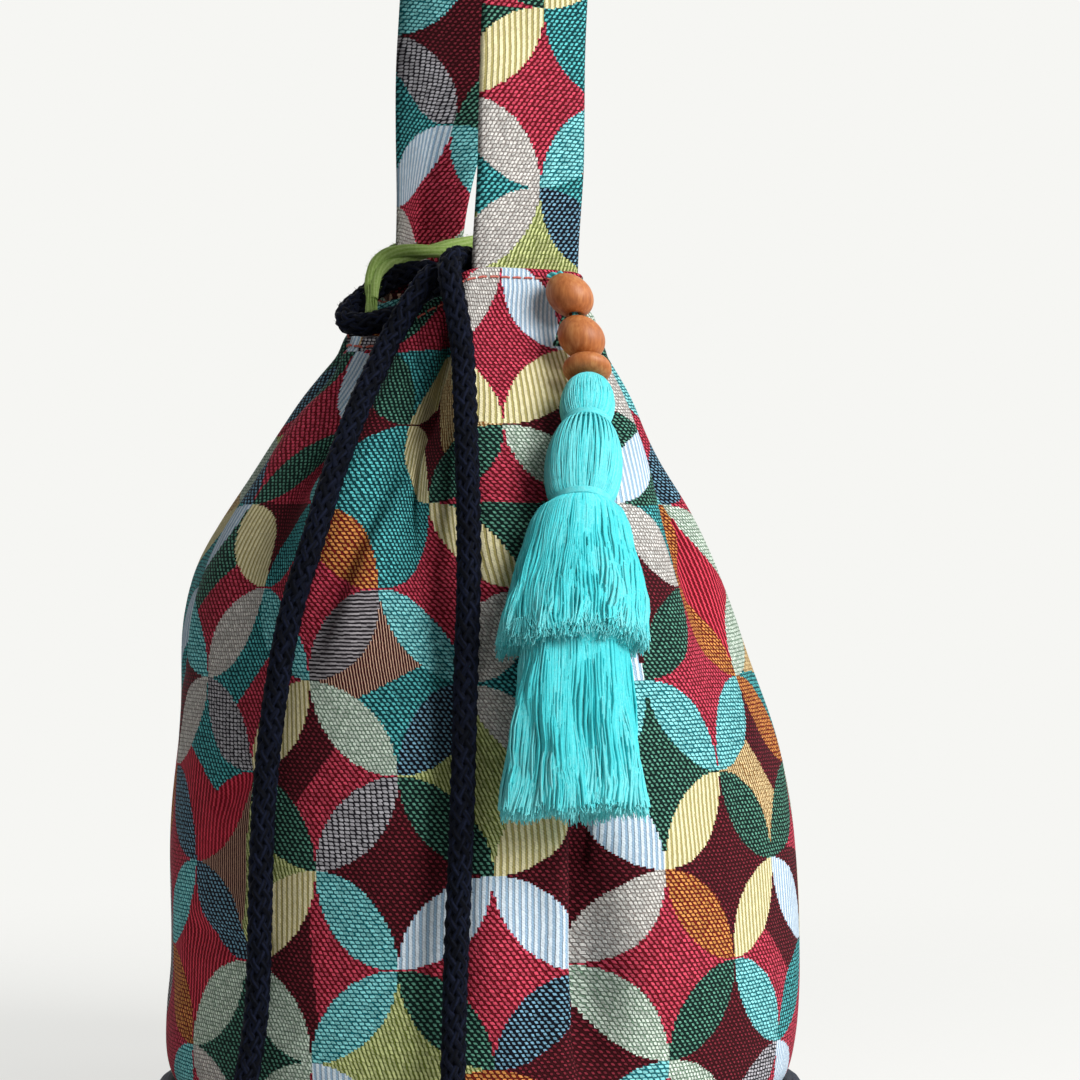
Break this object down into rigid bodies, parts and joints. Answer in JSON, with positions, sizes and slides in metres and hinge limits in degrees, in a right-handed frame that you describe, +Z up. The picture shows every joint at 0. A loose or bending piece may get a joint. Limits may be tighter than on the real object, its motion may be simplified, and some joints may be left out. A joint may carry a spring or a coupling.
{
  "type": "drawstring bucket bag",
  "caption": "Soft bucket bag of patterned tapestry cloth, gathered at the mouth by a braided drawstring, with a shoulder strap loop and a beaded tassel charm that swings.",
  "frame": {"origin": "middle of the base panel's underside, where the bag stands", "axes": "+Z up, -Y to the front end of the strap, +X to the bag's right as seen from there"},
  "size_m": [0.2299, 0.2463, 0.602],
  "materials": {
    "tapestry": "jacquard tapestry weave, matte",
    "lining_cotton": "plain dark cotton, matte",
    "navy_cotton": "plain navy cotton, matte",
    "navy_cord": "braided cotton cord, fuzzy",
    "green_yarn": "twisted soft yarn",
    "turquoise_yarn": "fine silky yarn",
    "oiled_beech": "oiled wood, satin"
  },
  "bodies": {
    "bag": {"outer_wall": "tapestry", "lining": "lining_cotton", "base_panel": "navy_cotton", "base_piping": "navy_cotton", "strap": "tapestry", "drawstring": "navy_cord", "cord_tail_left": "navy_cord", "cord_tail_right": "navy_cord", "knot_left": "navy_cord", "knot_right": "navy_cord", "green_tie": "green_yarn"},
    "charm": {"charm_thread": "turquoise_yarn", "bead_top": "oiled_beech", "bead_middle": "oiled_beech", "bead_disc": "oiled_beech", "upper_binding": "turquoise_yarn", "lower_binding": "turquoise_yarn", "tassel_upper": "turquoise_yarn", "tassel_lower": "turquoise_yarn"}
  },
  "joints": [
    {"name": "charm_swing", "type": "hinge", "parent": "bag", "child": "charm", "pos_m": [0.005, -0.04184, 0.2815], "axis": [-0.891, 0.454, 0], "range_deg": [0, 70]}
  ]
}
